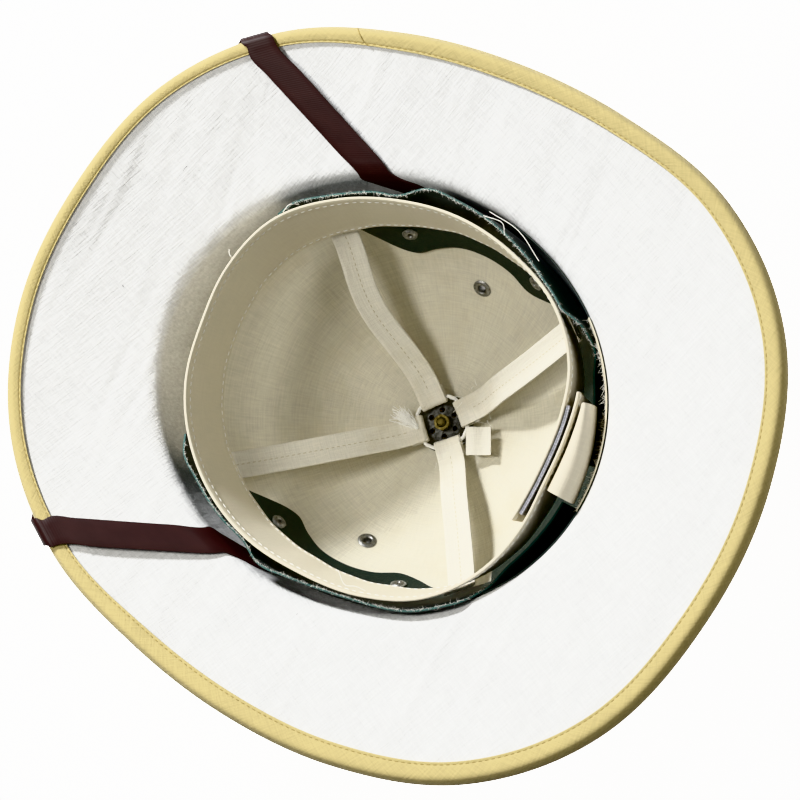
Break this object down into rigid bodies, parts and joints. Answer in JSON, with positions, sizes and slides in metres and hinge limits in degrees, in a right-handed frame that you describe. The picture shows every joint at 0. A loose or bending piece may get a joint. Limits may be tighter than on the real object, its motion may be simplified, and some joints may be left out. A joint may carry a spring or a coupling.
{
  "type": "pith helmet",
  "caption": "Domed sun helmet with a wide bound brim, lying on its crown, with its lining, sweatband, sling tapes, leather side pieces, ventilator and chin strap.",
  "frame": {"origin": "middle of the ventilator cap's flat top, which the helmet lies on", "axes": "+Z from the cap through the crown to its opening, so the helmet is upside down; -Y to the peak at the front, +Y to the longer brim at the back; -X to the wearer's left"},
  "size_m": [0.3043, 0.3427, 0.1521],
  "materials": {
    "khaki_cover": "khaki cotton drill glued over pith",
    "khaki_binding": "khaki-yellow bias binding, stitched",
    "white_cotton": "white plain-weave cotton",
    "cream_cotton": "unbleached plain-weave cotton",
    "band_cloth": "coated cream cloth, stitched along both edges",
    "tape_cotton": "folded cotton tape",
    "green_leather": "dark green split leather, matt",
    "brown_strap": "dark brown leather, smooth",
    "grey_grip": "hook-and-loop strip",
    "steel": "pressed nickelled steel, dulled",
    "brass": "turned brass, dulled"
  },
  "bodies": {
    "root": {"crown": "khaki_cover", "brim": "khaki_cover", "vent_cap": "khaki_cover", "brim_binding": "khaki_binding", "brim_lining": "white_cotton", "crown_lining": "cream_cotton", "sweatband": "band_cloth", "size_tab": "band_cloth", "tape_front_left": "tape_cotton", "tape_front_right": "tape_cotton", "tape_back_left": "tape_cotton", "tape_back_right": "tape_cotton", "tape_cord": "tape_cotton", "leather_left": "green_leather", "leather_right": "green_leather", "chin_strap": "brown_strap", "grip_strip": "grey_grip", "vent_disc": "steel", "rivet_front_left": "steel", "rivet_front_right": "steel", "rivet_back_left": "steel", "rivet_back_right": "steel", "eyelet_left": "steel", "eyelet_right": "steel", "vent_bolt": "brass", "vent_nut": "brass"}
  },
  "joints": []
}
